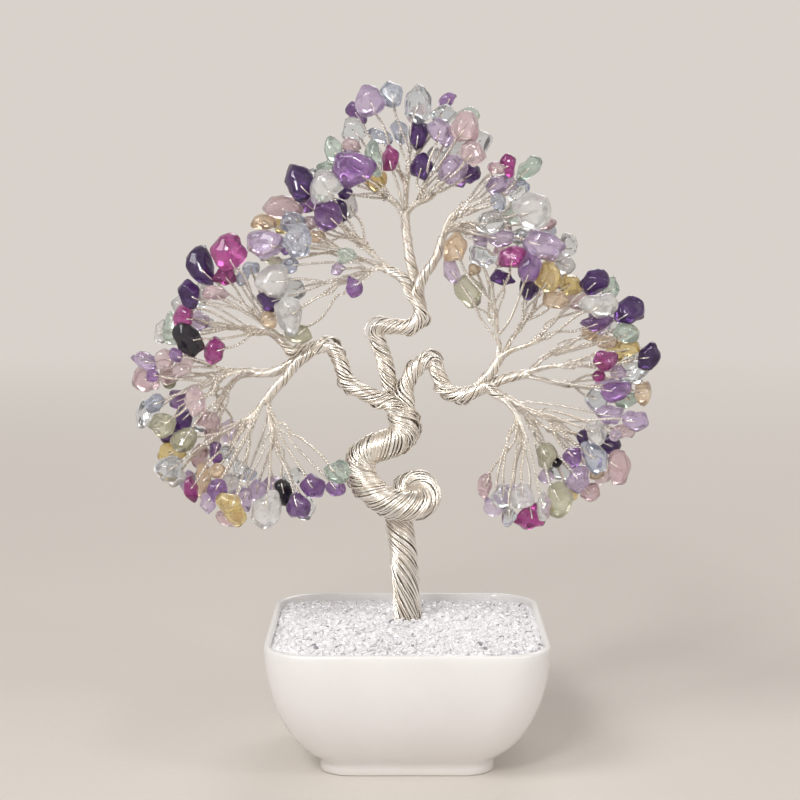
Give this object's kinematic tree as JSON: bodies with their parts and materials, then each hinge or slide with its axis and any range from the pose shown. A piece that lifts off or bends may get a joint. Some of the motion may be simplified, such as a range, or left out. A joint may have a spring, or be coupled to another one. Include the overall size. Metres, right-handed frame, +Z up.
{
  "type": "gemstone tree ornament",
  "caption": "Small ornamental tree of twisted silver-coloured wire with drilled gemstone chips on its twigs, set in crushed quartz in a square glazed bowl.",
  "frame": {"origin": "centre of the bowl's foot, on the table that it stands on", "axes": "+Z up through the tree, +X to the right seen from the front, +Y to the back; the front faces -Y"},
  "size_m": [0.1967, 0.104, 0.2531],
  "materials": {
    "white_glaze": "gloss",
    "plaster": "matte",
    "crushed_quartz": "satin",
    "silver_wire": "gloss",
    "dark_amethyst": "gloss",
    "amethyst": "gloss",
    "lavender": "gloss",
    "magenta": "gloss",
    "rose_quartz": "gloss",
    "clear_quartz": "gloss",
    "milky_quartz": "gloss",
    "green_fluorite": "gloss",
    "blue_fluorite": "gloss",
    "olive_quartz": "gloss",
    "citrine": "gloss",
    "peach": "gloss",
    "onyx": "gloss"
  },
  "bodies": {
    "root": {"bowl": "white_glaze", "plaster_plug": "plaster", "crushed_quartz_bed": "crushed_quartz", "trunk": "silver_wire", "left_limb": "silver_wire", "centre_limb": "silver_wire", "right_limb": "silver_wire", "left_upper_branch": "silver_wire", "left_outer_branch": "silver_wire", "left_lower_branch": "silver_wire", "centre_left_branch": "silver_wire", "centre_middle_branch": "silver_wire", "centre_right_branch": "silver_wire", "right_upper_branch": "silver_wire", "right_middle_branch": "silver_wire", "right_lower_branch": "silver_wire", "left_upper_spray_1": "silver_wire", "left_upper_spray_2": "silver_wire", "left_outer_spray_1": "silver_wire", "left_outer_spray_2": "silver_wire", "left_lower_spray_1": "silver_wire", "left_lower_spray_2": "silver_wire", "centre_left_spray_1": "silver_wire", "centre_left_spray_2": "silver_wire", "centre_left_spray_3": "silver_wire", "centre_middle_spray_1": "silver_wire", "centre_middle_spray_2": "silver_wire", "centre_middle_spray_3": "silver_wire", "centre_right_spray_1": "silver_wire", "centre_right_spray_2": "silver_wire", "right_upper_spray_1": "silver_wire", "right_upper_spray_2": "silver_wire", "right_upper_spray_3": "silver_wire", "right_middle_spray_1": "silver_wire", "right_middle_spray_2": "silver_wire", "right_middle_spray_3": "silver_wire", "right_lower_spray_1": "silver_wire", "right_lower_spray_2": "silver_wire", "right_lower_spray_3": "silver_wire", "dark_amethyst_chips": "dark_amethyst", "amethyst_chips": "amethyst", "lavender_chips": "lavender", "magenta_chips": "magenta", "rose_quartz_chips": "rose_quartz", "clear_quartz_chips": "clear_quartz", "milky_quartz_chips": "milky_quartz", "green_fluorite_chips": "green_fluorite", "blue_fluorite_chips": "blue_fluorite", "olive_quartz_chips": "olive_quartz", "citrine_chips": "citrine", "peach_chips": "peach", "onyx_chips": "onyx"}
  },
  "joints": []
}
